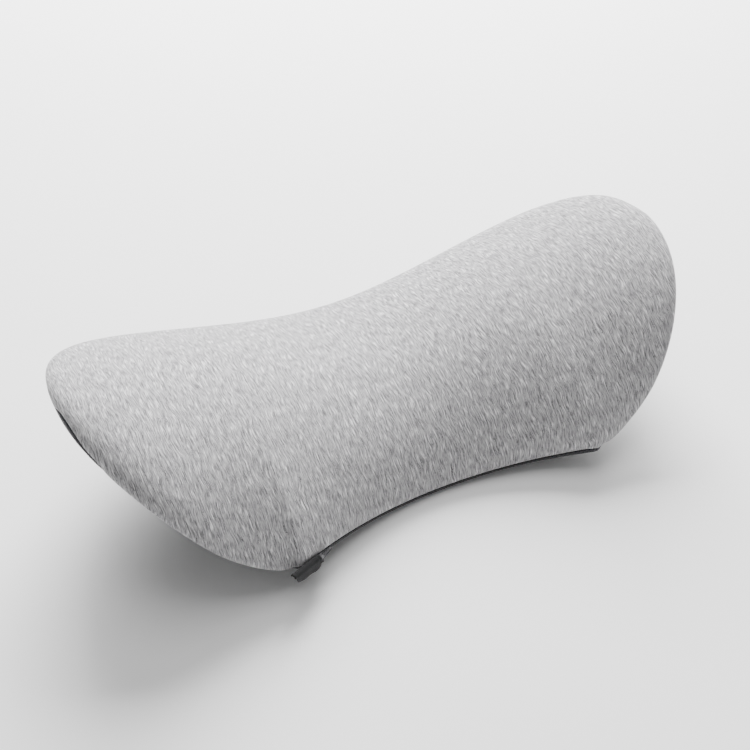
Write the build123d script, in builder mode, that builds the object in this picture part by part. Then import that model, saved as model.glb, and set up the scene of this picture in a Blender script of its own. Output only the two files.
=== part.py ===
from build123d import *
from math import cos, degrees, exp, pi, radians, sin, sqrt
import os

# Lumbar support cushion, in millimetres. It lies on its back as on a table: X is its length, Y is its
# width with the concave waist edge at -Y, and +Z is the light grey front that meets the user's back.
# The origin is on the surface it rests on, under the middle of its box.

# Driving dimensions of the padded body
half_length = 220.0
far_mid = 92.5
far_wing = 99.0
far_reach = 0.85
near_mid = 76.8
near_wing = 141.3
near_reach = 0.89
wing_shift = 9.4
centre_shift = 6.8
thick_mid = 58.7
thick_wing = 69.1
thick_reach = 0.52
near_level_mid = 7.0
near_level_wing = 13.2
far_level = 40.0
curl = 81.0
twist = -9.5
twist_arm = 110.0
tip_lift = 25.6
plan_shift = 10.25
sag = 24.4
sag_place = 0.63
sag_spread = 0.25
rest_squash = 2.0

# Roundness of the outlines and of the cross-section: 2 is an ellipse, more is squarer
far_power = 2.85
near_power = 2.12
tip_power = 2.21
upper_near_power = 1.70
lower_near_power = 2.83
far_section_power = 1.58
station_angles = [-86, -79, -69, -58, -49, -42, -36, -32, -28, -23, -16, -8, 0]
station_angles += [-angle for angle in reversed(station_angles[:-1])]
points_per_half = 12
cutter_step = 4
cutter_overreach = 1.02
cutter_side = 30.0
cutter_height = 120.0
cutter_lift = 0.2

# Cloth layers, counted inwards from the outside
cover_thickness = 1.6
liner_outside = 1.9
liner_inside = 2.7
foam_outside = 3.0

# Zip: its seam is an arc in a plane that holds X and leans back towards the waist's lobes
zip_radius = 205.0
zip_lean = 30.5
zip_seam_height = 5.0
zip_half_angle = 31.8
zip_fade = 20.0
slot_half = 0.8
slot_depth = 4.4
slot_proud = 4.0
groove_depth = 11.2
groove_up = 8.6
groove_down = 9.0
groove_extra_angle = 1.6
tape_front_outline = [(-3.0, 1.9), (-5.0, 7.4), (-5.5, 7.4), (-3.5, 1.9)]
tape_back_outline = [(-5.4, -1.75), (-10.2, -2.6), (-10.2, -2.1), (-5.4, -1.25)]
coil_outside = -3.9
coil_inside = -5.3
coil_low = 0.55
coil_high = 1.75
stop_angle = 0.6
stop_gap = 0.05

# Slider and pull
slider_rest_angle = -30.0
slider_length = 8.0
plate_outer = (-3.6, -2.9, -1.0, 1.5)
plate_inner = (-6.7, -5.7, -0.95, 2.2)
face_plate = (0.8, 1.6, -2.2, 2.2)
neck_half = 0.45
neck_inside = -6.2
neck_outside = 1.2
neck_length = 3.0
lug_out = 4.4
lug_inner = 1.6
lug_outer = 2.0
lug_length = 2.6
bar_out = 3.05
bar_radius = 0.55
pull_shift = 3.2
pull_clearance = 0.08
pull_eye_radius = 1.2
pull_half_width = 1.45
pull_length = 9.5
pull_thickness = 1.0
pull_corner = 1.2
pull_window_length = 4.6
pull_window_half = 0.6

# Dark fabric tab that hides the closed slider
tab_length = 27.0
tab_depth = 15.0
tab_thickness = 1.1
tab_clear = 2.4
tab_top = 2.8
tab_inner_edge = 0.7
tab_gap = 1.9
tab_corner = 5.0

# Elastic strap in a shallow channel across the back
back_radius = 305.0
strap_thickness = 1.5
strap_width = 38.0
strap_middle = -5.0
strap_half_angle = 35.0
channel_gap = 0.35
channel_end_angle = 1.0
patch_angle = 6.5
patch_end_angle = 1.0
patch_width = 46.0
patch_thickness = 1.0
patch_gap = 0.05


def mix(start, end, share):
    """Cosine step from start to end as share goes from 0 to 1."""
    bounded = min(max(share, 0.0), 1.0)
    return start + (end - start) * (0.5 - 0.5 * cos(pi * bounded))


def arc_degrees(length, radius):
    """Angle that a length takes up on an arc."""
    return degrees(length / radius)


def crown(share, power):
    """Height of a superellipse of the given power at a share of its half length."""
    return max(1.0 - share**power, 0.0) ** (1.0 / power)


lean = Vector(0, -cos(radians(zip_lean)), sin(radians(zip_lean)))
zip_apex = Vector(0, plan_shift - near_mid, zip_seam_height)
zip_centre = zip_apex + lean * zip_radius
zip_normal = Vector(1, 0, 0).cross(lean)
zip_axis = Axis((zip_centre.X, zip_centre.Y, zip_centre.Z), (zip_normal.X, zip_normal.Y, zip_normal.Z))
outward_at_apex = Vector(0, -1, 0)
zip_half_span = zip_radius * sin(radians(zip_half_angle))


def zip_plane(angle):
    """Plane across the zip at an angle along its arc: local x points out of the cushion, local y up."""
    turn = radians(angle)
    radial = Vector(1, 0, 0) * sin(turn) - lean * cos(turn)
    tangent = Vector(1, 0, 0) * cos(turn) + lean * sin(turn)
    out = radial * -outward_at_apex.dot(lean) + zip_normal * outward_at_apex.dot(zip_normal)
    return Plane(origin=zip_centre + radial * zip_radius, x_dir=out, z_dir=-tangent)


def lift(x, y, tip, near_share):
    """How far the curved back stands above the middle of the cushion at a place on its plan."""
    along = abs(x) / half_length
    bend = along**2 * (curl + twist * y / twist_arm)
    droop = sag * exp(-(((along - sag_place) / sag_spread) ** 2)) * tip * near_share**2
    return bend - droop + tip_lift * (1.0 - tip) - rest_squash


def near_edge(x, along, tip, inset):
    """Outermost point of the waist edge, as (y, z): the zip's arc in the middle, then the lobes."""
    y = -(mix(near_mid, near_wing, along / near_reach) - inset) * crown(along, near_power)
    y = y + wing_shift * (x / half_length) ** 2
    z = mix(near_level_mid, near_level_wing, along / thick_reach) * tip + lift(x, y, tip, 1.0)
    rise = zip_radius - sqrt(zip_radius**2 - min(abs(x), zip_half_span + zip_fade) ** 2)
    share = (abs(x) - zip_half_span) / zip_fade
    arc_y = -near_mid + lean.Y * rise + inset
    arc_z = zip_seam_height + lean.Z * rise
    return (mix(arc_y, y, share), mix(arc_z, z, share))


def section_point(station, angle, inset):
    """Point of the cross-section at a station, as (y, z); angle 0 is the far edge and 90 the top."""
    along = abs(station)
    x = (half_length - inset) * station
    tip = crown(along, tip_power)
    shift = wing_shift * (x / half_length) ** 2
    far_end = crown(along, far_power)
    far_y = (mix(far_mid, far_wing, along / far_reach) - inset) * far_end + shift
    near_y, near_z = near_edge(x, along, tip, inset)
    middle = centre_shift * min(far_end, crown(along, near_power)) + shift
    top = (mix(thick_mid, thick_wing, along / thick_reach) - inset) * tip
    across = abs(cos(radians(angle)))
    upright = abs(sin(radians(angle)))
    if abs(angle) <= 90:
        power = far_section_power
        share = across ** (2.0 / power)
        y = middle + (far_y - middle) * share
        level = far_level * tip
        offset = lift(x, y, tip, 0.0)
    else:
        power = upper_near_power if angle > 0 else lower_near_power
        share = across ** (2.0 / power)
        y = middle - (middle - near_y) * share
        level = near_z - lift(x, near_y, tip, 1.0)
        offset = lift(x, y, tip, share)
    reach = upright ** (2.0 / power)
    bottom = inset * tip
    height = level + (top - level) * reach if angle > 0 else level - (level - bottom) * reach
    return (y + plan_shift, height + offset)


def station_plane(station, inset):
    """Upright plane across the cushion, with local x along +Y and local y along +Z."""
    return Plane(origin=((half_length - inset) * station, 0, 0), x_dir=(0, 1, 0), z_dir=(1, 0, 0))


def padded_form(inset):
    """The whole padded body, inset evenly, with its flat to rest on and room for strap and zip."""
    step = 180.0 / points_per_half
    with BuildPart() as form:
        for station_angle in station_angles:
            station = sin(radians(station_angle))
            upper = [section_point(station, 180.0 - step * i, inset) for i in range(points_per_half + 1)]
            lower = [section_point(station, -step * i, inset) for i in range(1, points_per_half)]
            with BuildSketch(station_plane(station, inset)):
                with BuildLine():
                    Spline(*upper)
                    Spline(upper[-1], *lower, upper[0])
                make_face()
        loft()
        split(bisect_by=Plane.XY.offset(inset), keep=Keep.TOP)
        add(strap_channel(inset), mode=Mode.SUBTRACT)
    return form.part


def strap_channel(inset):
    """Room for the strap: an arc band under the back, wider and higher by the inset."""
    top = back_radius - strap_thickness - channel_gap - inset
    half = strap_width / 2 + channel_gap + inset
    end_angle = strap_half_angle + channel_end_angle + arc_degrees(inset, back_radius)
    return back_band(top, back_radius + half_length, half, -end_angle, 2 * end_angle)


def back_band(low_radius, high_radius, half_width, start, sweep):
    """Band round the back's lengthwise arc between two radii, made as a turned rectangle."""
    turn = radians(start)
    outward = Vector(sin(turn), 0, -cos(turn))
    origin = Vector(0, strap_middle, back_radius)
    with BuildPart() as band:
        with BuildSketch(Plane(origin=origin, x_dir=outward, z_dir=outward.cross(Vector(0, 1, 0)))):
            with Locations(((low_radius + high_radius) / 2, 0)):
                Rectangle(high_radius - low_radius, 2 * half_width)
        revolve(axis=Axis((0, strap_middle, back_radius), (0, -1, 0)), revolution_arc=sweep)
    return band.part


def zip_ring(outlines, start, sweep):
    """Closed outlines in the zip's cross-section, turned along the zip's arc."""
    with BuildPart() as ring:
        with BuildSketch(zip_plane(start)):
            for outline in outlines:
                with BuildLine():
                    Polyline(*outline, close=True)
                make_face()
        revolve(axis=zip_axis, revolution_arc=sweep)
    return ring.part


def box_outline(inner, outer, low, high):
    """Four corners of a rectangle in the zip's cross-section."""
    return [(inner, low), (outer, low), (outer, high), (inner, high)]


def zip_groove(extra):
    """Room behind the covers for the zip tapes and the inner half of the slider."""
    half = zip_half_angle + groove_extra_angle + arc_degrees(extra, zip_radius)
    outline = box_outline(-groove_depth - extra, groove_depth, -groove_down - extra, groove_up + extra)
    return zip_ring([outline], -half, 2 * half)


def seam_cutter():
    """Everything above the seam that joins the front and back covers."""
    first, last = station_angles[0], station_angles[-1]
    with BuildPart() as cutter:
        for station_angle in range(first, last + 1, cutter_step):
            station = sin(radians(station_angle))
            near = section_point(station, 180.0, 0.0)
            far = section_point(station, 0.0, 0.0)
            with BuildSketch(station_plane(station * cutter_overreach, 0.0)):
                with BuildLine():
                    Polyline(
                        (near[0] - cutter_side, near[1] + cutter_lift),
                        (near[0], near[1] + cutter_lift),
                        (far[0], far[1] + cutter_lift),
                        (far[0] + cutter_side, far[1] + cutter_lift),
                        (far[0] + cutter_side, far[1] + cutter_height),
                        (near[0] - cutter_side, near[1] + cutter_height),
                        close=True,
                    )
                make_face()
        loft(ruled=True)
    return cutter.part


os.makedirs("parts", exist_ok=True)

outer_form = padded_form(0.0)
cover_inner_form = padded_form(cover_thickness)
upper_half = seam_cutter()
slot_outline = box_outline(-slot_depth, slot_proud, -slot_half, slot_half)
zip_slot = zip_ring([slot_outline], -zip_half_angle, 2 * zip_half_angle)

# Light grey knitted cover over the front, from the far seam to the waist seam
with BuildPart() as front_cover:
    add(outer_form)
    add(cover_inner_form, mode=Mode.SUBTRACT)
    add(upper_half, mode=Mode.INTERSECT)
    add(zip_slot, mode=Mode.SUBTRACT)
front_cover.part.label = "front_cover"
export_step(front_cover.part, "parts/front_cover.step")

# Dark mesh cover under the back, with the channel that the strap lies in
with BuildPart() as back_cover:
    add(outer_form)
    add(cover_inner_form, mode=Mode.SUBTRACT)
    add(upper_half, mode=Mode.SUBTRACT)
    add(zip_slot, mode=Mode.SUBTRACT)
back_cover.part.label = "back_cover"
export_step(back_cover.part, "parts/back_cover.step")

# Hollow of the liner, stepped in behind the zip
with BuildPart() as liner_hollow:
    add(padded_form(liner_inside))
    add(zip_groove(liner_inside - liner_outside), mode=Mode.SUBTRACT)

# Thin bag that keeps the foam core clean
with BuildPart() as inner_liner:
    add(padded_form(liner_outside))
    add(zip_groove(0.0), mode=Mode.SUBTRACT)
    add(liner_hollow.part, mode=Mode.SUBTRACT)
inner_liner.part.label = "inner_liner"
export_step(inner_liner.part, "parts/inner_liner.step")

# Moulded memory-foam core
with BuildPart() as foam_core:
    add(padded_form(foam_outside))
    add(zip_groove(foam_outside - liner_outside), mode=Mode.SUBTRACT)
foam_core.part.label = "foam_core"
export_step(foam_core.part, "parts/foam_core.step")


def zip_block(box, start, length):
    """Short piece on the zip's arc: a box given as (inner, outer, low, high) and its length on the arc."""
    sweep = arc_degrees(length, zip_radius)
    return zip_ring([box_outline(box[0], box[1], box[2], box[3])], start - sweep / 2, sweep)


zip_sweep = 2 * zip_half_angle

# Woven zip tapes, one sewn behind the edge of each cover
with BuildPart() as zip_tape_front:
    add(zip_ring([tape_front_outline], -zip_half_angle, zip_sweep))
zip_tape_front.part.label = "zip_tape_front"
export_step(zip_tape_front.part, "parts/zip_tape_front.step")

with BuildPart() as zip_tape_back:
    add(zip_ring([tape_back_outline], -zip_half_angle, zip_sweep))
zip_tape_back.part.label = "zip_tape_back"
export_step(zip_tape_back.part, "parts/zip_tape_back.step")

# The two rows of coil, with a slit between them for the slider's post
coil_sweep = zip_sweep - 4 * stop_angle
front_row = box_outline(coil_inside, coil_outside, coil_low, coil_high)
back_row = box_outline(coil_inside, coil_outside, -coil_high, -coil_low)
with BuildPart() as zip_coil_front:
    add(zip_ring([front_row], -coil_sweep / 2, coil_sweep))
zip_coil_front.part.label = "zip_coil_front"
export_step(zip_coil_front.part, "parts/zip_coil_front.step")

with BuildPart() as zip_coil_back:
    add(zip_ring([back_row], -coil_sweep / 2, coil_sweep))
zip_coil_back.part.label = "zip_coil_back"
export_step(zip_coil_back.part, "parts/zip_coil_back.step")

# Stops at both ends of the coil: two small ones where the zip closes, one bar where it opens
close_start = -coil_sweep / 2 - stop_angle - stop_gap
both_rows = box_outline(coil_inside, coil_outside, -coil_high, coil_high)
with BuildPart() as zip_top_stops:
    add(zip_ring([front_row, back_row], close_start, stop_angle))
zip_top_stops.part.label = "zip_top_stops"
export_step(zip_top_stops.part, "parts/zip_top_stops.step")

with BuildPart() as zip_bottom_stop:
    add(zip_ring([both_rows], coil_sweep / 2 + stop_gap, stop_angle))
zip_bottom_stop.part.label = "zip_bottom_stop"
export_step(zip_bottom_stop.part, "parts/zip_bottom_stop.step")

# Slider: two plates round the coil, a neck through the slot, and a lug with the pull's bar outside
pull_angle = slider_rest_angle + arc_degrees(pull_shift, zip_radius)
lug_plane = zip_plane(pull_angle)
bar_plane = Plane(origin=lug_plane.from_local_coords((bar_out, 0, 0)), x_dir=lug_plane.x_dir, z_dir=lug_plane.y_dir)
with BuildPart() as zip_slider:
    add(zip_block(plate_outer, slider_rest_angle, slider_length))
    add(zip_block(plate_inner, slider_rest_angle, slider_length))
    add(zip_block((neck_inside, neck_outside, -neck_half, neck_half), slider_rest_angle, neck_length))
    add(zip_block(face_plate, slider_rest_angle, slider_length + lug_length))
    with BuildSketch(lug_plane):
        with Locations(((neck_outside + lug_out) / 2, 0)):
            with GridLocations(0, lug_inner + lug_outer, 1, 2):
                Rectangle(lug_out - neck_outside, lug_outer - lug_inner)
    extrude(amount=lug_length / 2, both=True)
    with BuildSketch(bar_plane):
        Circle(bar_radius)
    extrude(amount=(lug_inner + lug_outer) / 2, both=True)
zip_slider.part.label = "zip_slider"
export_step(zip_slider.part, "parts/zip_slider.step")

# Pull: a small loop that turns on the slider's bar and points along the seam
pull_plane = Plane(origin=bar_plane.origin, x_dir=-lug_plane.z_dir, z_dir=lug_plane.y_dir)
with BuildPart() as zip_pull:
    with BuildSketch(pull_plane):
        Circle(pull_eye_radius)
        with Locations((pull_length / 2, 0)):
            Rectangle(pull_length, pull_thickness)
        Circle(bar_radius + pull_clearance, mode=Mode.SUBTRACT)
    extrude(amount=pull_half_width, both=True)
    with BuildSketch(Plane(origin=pull_plane.origin, x_dir=pull_plane.x_dir, z_dir=pull_plane.y_dir)):
        with Locations((pull_length - pull_window_length / 2 - pull_window_half * 2, 0)):
            SlotOverall(pull_window_length, 2 * pull_window_half)
    extrude(amount=pull_thickness, both=True, mode=Mode.SUBTRACT)
    through_edges = zip_pull.edges().filter_by(Axis(pull_plane.origin, pull_plane.y_dir))
    tip_edges = through_edges.sort_by(Axis(pull_plane.origin, pull_plane.x_dir))
    fillet(tip_edges[-2:], radius=pull_corner)
zip_pull.part.label = "zip_pull"
export_step(zip_pull.part, "parts/zip_pull.step")

# Fabric tab sewn into the seam: it stands off the closed slider and hangs over it
tab_end = zip_plane(pull_angle - arc_degrees(tab_gap, zip_radius))
with BuildPart() as zip_tab:
    with BuildSketch(tab_end):
        with BuildLine():
            Polyline(
                (tab_inner_edge, tab_top),
                (tab_inner_edge, tab_top + tab_thickness),
                (tab_clear + tab_thickness, tab_top + tab_thickness),
                (tab_clear + tab_thickness, tab_top + tab_thickness - tab_depth),
                (tab_clear, tab_top + tab_thickness - tab_depth),
                (tab_clear, tab_top),
                close=True,
            )
        make_face()
    extrude(amount=tab_length)
    through_edges = zip_tab.edges().filter_by(Axis(tab_end.origin, tab_end.x_dir))
    lower_corners = through_edges.sort_by(Axis(tab_end.origin, tab_end.y_dir))
    fillet(lower_corners[:2], radius=tab_corner)
zip_tab.part.label = "zip_tab"
export_step(zip_tab.part, "parts/zip_tab.step")

# Elastic strap that lies in the channel, with a sewn patch over each end
strap_inner_radius = back_radius - strap_thickness
with BuildPart() as back_strap:
    add(back_band(strap_inner_radius, back_radius, strap_width / 2, -strap_half_angle, 2 * strap_half_angle))
back_strap.part.label = "back_strap"
export_step(back_strap.part, "parts/back_strap.step")

patch_low = back_radius + patch_gap
patch_high = patch_low + patch_thickness
left_start = -strap_half_angle - patch_end_angle
right_start = strap_half_angle + patch_end_angle - patch_angle
for side, first in (("left", left_start), ("right", right_start)):
    with BuildPart() as strap_patch:
        add(back_band(patch_low, patch_high, patch_width / 2, first, patch_angle))
    strap_patch.part.label = "strap_patch_" + side
    export_step(strap_patch.part, "parts/strap_patch_" + side + ".step")
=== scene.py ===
import math

import bmesh
import bpy
import numpy as np
from mathutils import Matrix, Quaternion, Vector
from mathutils.kdtree import KDTree


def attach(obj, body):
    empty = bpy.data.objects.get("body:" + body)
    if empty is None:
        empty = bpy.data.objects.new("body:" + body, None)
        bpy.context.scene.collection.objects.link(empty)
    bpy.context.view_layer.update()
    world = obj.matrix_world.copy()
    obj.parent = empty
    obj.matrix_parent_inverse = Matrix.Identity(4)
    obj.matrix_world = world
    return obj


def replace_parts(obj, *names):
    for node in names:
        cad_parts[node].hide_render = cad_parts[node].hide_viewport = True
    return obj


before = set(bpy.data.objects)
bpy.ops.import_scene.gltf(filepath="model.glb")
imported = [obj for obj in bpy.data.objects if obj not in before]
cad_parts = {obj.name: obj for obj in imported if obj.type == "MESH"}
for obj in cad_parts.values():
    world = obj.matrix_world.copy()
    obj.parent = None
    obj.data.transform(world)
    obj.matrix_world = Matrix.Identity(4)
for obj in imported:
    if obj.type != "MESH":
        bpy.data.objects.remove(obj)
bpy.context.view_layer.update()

# Lumbar support cushion. The padded body is worked out in millimetres and made in metres, in the
# frame of the CAD model: X along its length, Y across it, Z up out of the grey front.
MM = 0.001
CUSHION, PULL = "cushion", "pull"
TINY = 1e-9

# The padded body's driving dimensions, as in the CAD model
HALF_LENGTH = 220.0
FAR_MID, FAR_WING, FAR_REACH = 92.5, 99.0, 0.85
NEAR_MID, NEAR_WING, NEAR_REACH = 76.8, 141.3, 0.89
WING_SHIFT, CENTRE_SHIFT = 9.4, 6.8
THICK_MID, THICK_WING, THICK_REACH = 58.7, 69.1, 0.52
NEAR_LEVEL_MID, NEAR_LEVEL_WING, FAR_LEVEL = 7.0, 13.2, 40.0
CURL, TWIST, TWIST_ARM = 81.0, -9.5, 110.0
TIP_LIFT, PLAN_SHIFT = 25.6, 10.25
SAG, SAG_PLACE, SAG_SPREAD = 24.4, 0.63, 0.25
REST_SQUASH = 2.0
FAR_POWER, NEAR_POWER, TIP_POWER = 2.85, 2.12, 2.21
UPPER_NEAR_POWER, LOWER_NEAR_POWER, FAR_SECTION_POWER = 1.70, 2.83, 1.58

# The zip's arc: its centre, its radius and how far its plane leans back
ZIP_RADIUS, ZIP_LEAN, ZIP_SEAM_HEIGHT = 205.0, 30.5, 5.0
ZIP_HALF_ANGLE, ZIP_FADE = 31.8, 20.0
X_AXIS = np.array([1.0, 0.0, 0.0])
LEAN = np.array([0.0, -math.cos(math.radians(ZIP_LEAN)), math.sin(math.radians(ZIP_LEAN))])
ZIP_APEX = np.array([0.0, PLAN_SHIFT - NEAR_MID, ZIP_SEAM_HEIGHT])
ZIP_CENTRE = ZIP_APEX + LEAN * ZIP_RADIUS
ZIP_NORMAL = np.cross(X_AXIS, LEAN)
OUT_AT_APEX = np.array([0.0, -1.0, 0.0])
ZIP_HALF_SPAN = ZIP_RADIUS * math.sin(math.radians(ZIP_HALF_ANGLE))

# The strap's arc under the back
BACK_RADIUS, STRAP_THICKNESS, STRAP_WIDTH = 305.0, 1.5, 38.0
STRAP_MIDDLE, STRAP_HALF_ANGLE = -5.0, 35.0


# ---------------- the padded surface

def mix(start, end, share):
    """Cosine step from start to end as share goes from 0 to 1."""
    return start + (end - start) * (0.5 - 0.5 * np.cos(np.pi * np.clip(share, 0, 1)))


def rising(value, start, full):
    """0 up to start and 1 from full on, with a smooth step between them."""
    return mix(0.0, 1.0, (value - start) / (full - start))


def crown(share, power):
    """Height of a superellipse of the given power at a share of its half length."""
    return np.clip(1.0 - share**power, 0, None) ** (1.0 / power)


def lift(x, y, tip, near_share):
    """How far the curved back stands above the middle of the cushion at a place on its plan."""
    along = np.abs(x) / HALF_LENGTH
    bend = along**2 * (CURL + TWIST * y / TWIST_ARM)
    droop = SAG * np.exp(-(((along - SAG_PLACE) / SAG_SPREAD) ** 2)) * tip * near_share**2
    return bend - droop + TIP_LIFT * (1.0 - tip) - REST_SQUASH


EASE_REACH, EASE_SAMPLES = 16.0, 9
EASE_RISE, EASE_FADE_START, EASE_END = 12.0, 145.0, 175.0


def near_edge(x, inset):
    """Waist edge as y and z, averaged over a stretch of each lobe to soften the end of the zip's arc."""
    span = np.abs(x)
    spread = EASE_REACH * rising(span, ZIP_HALF_SPAN, ZIP_HALF_SPAN + EASE_RISE)
    spread = spread * (1.0 - rising(span, EASE_FADE_START, EASE_END))
    y, z = 0.0, 0.0
    for share in np.linspace(-1.0, 1.0, EASE_SAMPLES):
        part_y, part_z = plain_near_edge(x + share * spread, inset)
        y = y + part_y / EASE_SAMPLES
        z = z + part_z / EASE_SAMPLES
    return y, z


def plain_near_edge(x, inset):
    """Outermost line of the waist edge, as y and z: the zip's arc in the middle, then the lobes."""
    along = np.minimum(np.abs(x) / (HALF_LENGTH - inset), 1.0)
    tip = crown(along, TIP_POWER)
    y = -(mix(NEAR_MID, NEAR_WING, along / NEAR_REACH) - inset) * crown(along, NEAR_POWER)
    y = y + WING_SHIFT * (x / HALF_LENGTH) ** 2
    z = mix(NEAR_LEVEL_MID, NEAR_LEVEL_WING, along / THICK_REACH) * tip + lift(x, y, tip, 1.0)
    reach = np.minimum(np.abs(x), ZIP_HALF_SPAN + ZIP_FADE)
    rise = ZIP_RADIUS - np.sqrt(ZIP_RADIUS**2 - reach**2)
    share = (np.abs(x) - ZIP_HALF_SPAN) / ZIP_FADE
    arc_y = -NEAR_MID + LEAN[1] * rise + inset
    arc_z = ZIP_SEAM_HEIGHT + LEAN[2] * rise
    return mix(arc_y, y, share), mix(arc_z, z, share)


def form_points(stations, angles, inset):
    """Points of the padded body for columns of stations and rows of angles round each section."""
    station, angle = stations[:, None], angles[None, :]
    along = np.abs(station)
    x = (HALF_LENGTH - inset) * station
    tip = crown(along, TIP_POWER)
    shift = WING_SHIFT * (x / HALF_LENGTH) ** 2
    far_end = crown(along, FAR_POWER)
    far_y = (mix(FAR_MID, FAR_WING, along / FAR_REACH) - inset) * far_end + shift
    near_y, near_z = near_edge(x, inset)
    middle = CENTRE_SHIFT * np.minimum(far_end, crown(along, NEAR_POWER)) + shift
    top = (mix(THICK_MID, THICK_WING, along / THICK_REACH) - inset) * tip
    turn = np.radians(angle)
    across, upright = np.abs(np.cos(turn)), np.abs(np.sin(turn))
    far, upper = np.abs(angle) <= 90, angle > 0
    power = np.where(far, FAR_SECTION_POWER, np.where(upper, UPPER_NEAR_POWER, LOWER_NEAR_POWER))
    share = across ** (2.0 / power)
    y = np.where(far, middle + (far_y - middle) * share, middle - (middle - near_y) * share)
    level = np.where(far, FAR_LEVEL * tip, near_z - lift(x, near_y, tip, 1.0))
    offset = lift(x, y, tip, np.where(far, 0.0, share))
    reach = upright ** (2.0 / power)
    bottom = inset * tip
    height = np.where(upper, level + (top - level) * reach, level - (level - bottom) * reach)
    return np.stack([x + 0 * y, y + PLAN_SHIFT, height + offset], -1)


FLAT_SOFTNESS = 0.8
CHANNEL_GAP, CHANNEL_SOFT, CHANNEL_FADE, CHANNEL_DEEPEST = 0.3, 4.0, 2.0, 8.0
CHANNEL_TOP = 0.25 * BACK_RADIUS


def rest_and_strap(points, inset):
    """Flattens the middle where it rests, and presses in the shallow groove for the strap."""
    p = points.copy()
    low = p[..., 2] - inset
    p[..., 2] = inset + 0.5 * (low + np.sqrt(low**2 + FLAT_SOFTNESS**2))
    radius = np.hypot(p[..., 0], BACK_RADIUS - p[..., 2])
    limit = BACK_RADIUS - STRAP_THICKNESS - CHANNEL_GAP - inset
    side = (STRAP_WIDTH / 2 + CHANNEL_SOFT - np.abs(p[..., 1] - STRAP_MIDDLE)) / CHANNEL_SOFT
    angle = np.degrees(np.abs(np.arctan2(p[..., 0], BACK_RADIUS - p[..., 2])))
    weight = mix(0.0, 1.0, side) * mix(1.0, 0.0, (angle - STRAP_HALF_ANGLE) / CHANNEL_FADE)
    under = np.clip(radius - limit, 0, CHANNEL_DEEPEST) * weight * (p[..., 2] < CHANNEL_TOP)
    scale = (radius - under) / radius
    p[..., 0] = p[..., 0] * scale
    p[..., 2] = BACK_RADIUS - (BACK_RADIUS - p[..., 2]) * scale
    return p


def spaced(count, crowding):
    """Shares from 0 to 1 that crowd towards both ends."""
    u = np.linspace(0.0, 1.0, count)
    return (1 - crowding) * u + crowding * mix(0.0, 1.0, u)


def stations_along(count):
    """Stations from tip to tip, closer together towards the tips."""
    return np.sin(np.linspace(-0.5 * np.pi, 0.5 * np.pi, count))


def run_along(line):
    """Distance along a line of points from its start to each of them."""
    return np.concatenate([[0.0], np.cumsum(np.linalg.norm(np.diff(line, axis=0), axis=1))])


LOBE_WRAP, LOBE_WRAP_START, LOBE_WRAP_FULL = 9.5, 108.0, 136.0
LEFT_TIP_END, LEFT_TIP_START = -213.5, -200.0
LEFT_RIM, LEFT_RIM_FULL, LEFT_RIM_END = 6.5, -219.0, -214.0
RIGHT_RIM = 3.5
RIGHT_RIM_START, RIGHT_RIM_FULL, RIGHT_RIM_FADE, RIGHT_RIM_END = 165.0, 190.0, 205.0, 219.0
LONGEST_WRAP = 0.2


def near_wrap(x):
    """How far the grey knit wraps under the waist edge past its middle line, in millimetres."""
    lobes = LOBE_WRAP * rising(abs(x), LOBE_WRAP_START, LOBE_WRAP_FULL)
    lobes = lobes * rising(x, LEFT_TIP_END, LEFT_TIP_START)
    return lobes - LEFT_RIM * (1.0 - rising(x, LEFT_RIM_FULL, LEFT_RIM_END))


def far_wrap(x):
    """The same at the far edge, where the mesh shows a little at the right-hand end."""
    shown = rising(x, RIGHT_RIM_START, RIGHT_RIM_FULL) * (1.0 - rising(x, RIGHT_RIM_FADE, RIGHT_RIM_END))
    return -RIGHT_RIM * shown


def wrapped(own, other, wrap):
    """A section's line from its start, lengthened over the other cloth by wrap or cut by -wrap."""
    line = other if wrap > 0 else own
    run = run_along(line)
    reach = min(abs(wrap), LONGEST_WRAP * run[-1])
    cut = np.array([np.interp(reach, run, line[:, k]) for k in range(3)])
    kept = int(np.searchsorted(run, reach + 1e-6))
    if wrap > 0:
        return np.concatenate([[cut], line[kept - 1 : 0 : -1], own])
    return np.concatenate([[cut], line[kept:]])


SECTION_SAMPLES, ROW_CROWDING = 721, 0.72


def sheet_points(upper):
    """Grid over the front (upper) or the back of the body.

    Returns the points, each point's arc length from the middle of its section, and its arc length
    from the nearest seam."""
    stations = stations_along(COLUMNS)
    half_turn = np.linspace(180.0, 0.0, SECTION_SAMPLES)
    over = rest_and_strap(form_points(stations, half_turn, 0.0), 0.0)
    under = rest_and_strap(form_points(stations, -half_turn, 0.0), 0.0)
    shares = spaced(ROWS, ROW_CROWDING)
    sign = 1.0 if upper else -1.0
    points, arcs, seams = [], [], []
    for top_line, bottom_line in zip(over, under):
        own, other = (top_line, bottom_line) if upper else (bottom_line, top_line)
        x = own[0, 0]
        line = wrapped(own, other, sign * near_wrap(x))
        line = wrapped(line[::-1], other[::-1], sign * far_wrap(x))[::-1]
        run = run_along(line)
        at = shares * run[-1]
        points.append(np.stack([np.interp(at, run, line[:, k]) for k in range(3)], -1))
        arcs.append(at - run[-1] / 2)
        seams.append(np.minimum(at, run[-1] - at))
    return np.array(points), np.array(arcs), np.array(seams)


def grid_normals(points, upper):
    """Outward unit normals of a grid of points."""
    along = np.gradient(points, axis=0)
    around = np.gradient(points, axis=1)
    normal = np.cross(along, around)
    length = np.linalg.norm(normal, axis=-1, keepdims=True)
    normal = normal / np.maximum(length, TINY)
    return normal if upper else -normal


# ---------------- mesh helpers

DOUBLES_WITHIN = 0.02
NEARLY_UPRIGHT = 0.8
THREAD_SIDES = 6


def link(name, data):
    """Puts new object data in the scene."""
    made = bpy.data.objects.new(name, data)
    bpy.context.scene.collection.objects.link(made)
    return made


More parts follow.
